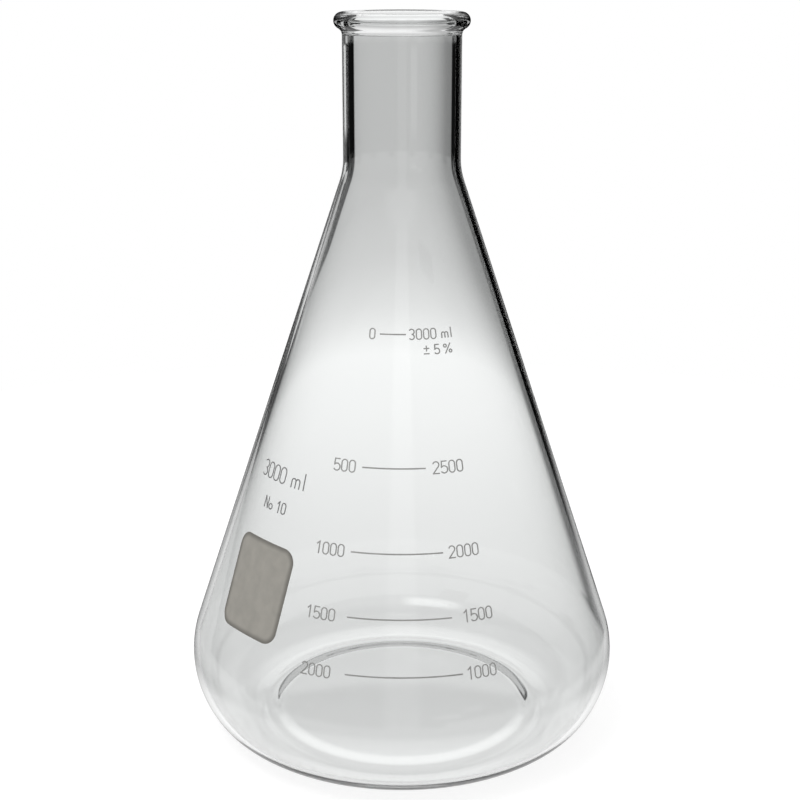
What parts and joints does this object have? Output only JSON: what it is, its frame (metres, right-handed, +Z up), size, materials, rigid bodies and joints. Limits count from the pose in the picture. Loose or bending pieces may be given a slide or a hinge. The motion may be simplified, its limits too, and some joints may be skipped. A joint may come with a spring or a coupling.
{
  "type": "erlenmeyer flask",
  "caption": "Conical narrow-neck glass laboratory flask with a beaded rim, a pushed-up base, a fired double volume scale and a marking spot.",
  "frame": {"origin": "centre of the flask's axis on the surface that it stands on", "axes": "+Z up along the flask's axis of symmetry, -Y towards the reader of the scale, +X to the reader's right"},
  "size_m": [0.187, 0.187, 0.31],
  "materials": {
    "glass": "clear, smooth, fire-polished",
    "spot_enamel": "fired ceramic enamel, warm grey, matt and slightly rough",
    "scale_enamel": "fired ceramic enamel, light grey, matt",
    "capacity_enamel": "fired ceramic enamel, mid grey, matt"
  },
  "bodies": {
    "root": {"glass_body": "glass", "marking_spot": "spot_enamel", "line_3000": "scale_enamel", "line_2500": "scale_enamel", "line_2000": "scale_enamel", "line_1500": "scale_enamel", "line_1000": "scale_enamel", "right_3000": "scale_enamel", "right_2500": "scale_enamel", "right_2000": "scale_enamel", "right_1500": "scale_enamel", "right_1000": "scale_enamel", "left_0": "scale_enamel", "left_500": "scale_enamel", "left_1000": "scale_enamel", "left_1500": "scale_enamel", "left_2000": "scale_enamel", "unit_mark": "scale_enamel", "accuracy_mark": "scale_enamel", "capacity_mark": "capacity_enamel", "stopper_size_mark": "capacity_enamel"}
  },
  "joints": []
}
